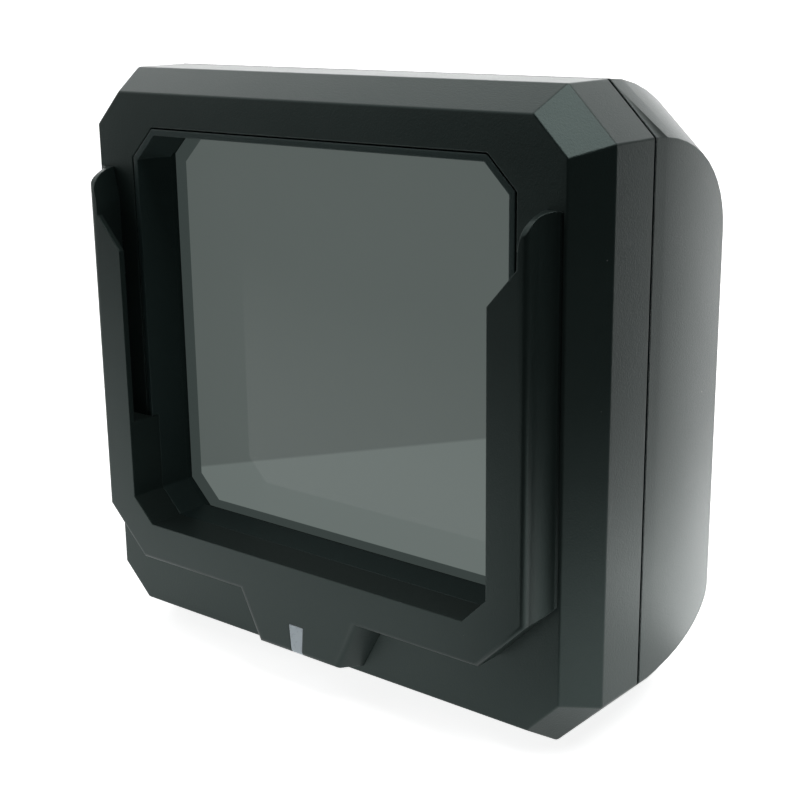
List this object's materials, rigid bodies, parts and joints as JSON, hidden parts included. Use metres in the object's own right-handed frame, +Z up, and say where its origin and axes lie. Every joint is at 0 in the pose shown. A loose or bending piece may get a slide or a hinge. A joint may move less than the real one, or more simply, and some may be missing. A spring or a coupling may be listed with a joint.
{
  "type": "passport reader",
  "caption": "Upright desktop passport reader: clipped-corner housing with a deep glass window and a U-shaped guide that holds an open booklet against it.",
  "frame": {"origin": "middle of the footprint, on the ground under the feet", "axes": "+Z up, -Y towards the document guide on the front, +X to the right as seen from the front"},
  "size_m": [0.1542, 0.0738, 0.1488],
  "materials": {
    "shell_plastic": "satin, fine grain",
    "guide_plastic": "satin, fine grain",
    "inner_plastic": "matte",
    "window_glass": "clear, polished",
    "border_ink": "printed ink",
    "light_plastic": "clear to milky, polished",
    "rubber": "matte",
    "bright_steel": "zinc plated",
    "black_steel": "black oxide",
    "circuit_board": "solder mask",
    "silvered_glass": "front silvered",
    "milky_plastic": "translucent white",
    "lens_glass": "coated",
    "contact_plastic": "moulded"
  },
  "bodies": {
    "reader_body": {"front_cover": "shell_plastic", "rear_cover": "shell_plastic", "document_guide": "guide_plastic", "status_light_pipe": "light_plastic", "window_bezel": "inner_plastic", "window_glass": "window_glass", "glass_border": "border_ink", "antenna_board": "circuit_board", "optical_chassis": "inner_plastic", "folding_mirror": "silvered_glass", "camera_board": "circuit_board", "lens_holder": "inner_plastic", "lens_barrel": "black_steel", "camera_lens": "lens_glass", "light_strip_left": "milky_plastic", "light_strip_right": "milky_plastic", "light_diffuser_left": "milky_plastic", "light_diffuser_right": "milky_plastic", "main_board": "circuit_board", "processor_shield": "bright_steel", "sounder": "contact_plastic", "card_holder_left": "contact_plastic", "card_holder_right": "contact_plastic", "main_board_screw_upper_left": "bright_steel", "main_board_screw_lower_left": "bright_steel", "main_board_screw_upper_right": "bright_steel", "main_board_screw_lower_right": "bright_steel", "port_board": "circuit_board", "port_board_screw_left": "bright_steel", "port_board_screw_right": "bright_steel", "usb_socket": "bright_steel", "power_socket": "contact_plastic", "status_board": "circuit_board", "status_lamp": "milky_plastic", "card_door_pin": "bright_steel", "case_screw_upper_left": "black_steel", "case_screw_lower_left": "black_steel", "case_screw_upper_right": "black_steel", "case_screw_lower_right": "black_steel", "guide_screw_bottom_left": "bright_steel", "guide_screw_arm_left": "bright_steel", "guide_screw_bottom_right": "bright_steel", "guide_screw_arm_right": "bright_steel", "foot_front_left": "rubber", "foot_rear_left": "rubber", "foot_front_right": "rubber", "foot_rear_right": "rubber"},
    "card_door": {"card_door": "shell_plastic"}
  },
  "joints": [
    {"name": "card_door_hinge", "type": "hinge", "parent": "reader_body", "child": "card_door", "pos_m": [0, 0.0352, 0.1111], "axis": [1, 0, 0], "range_deg": [0, 90]}
  ]
}
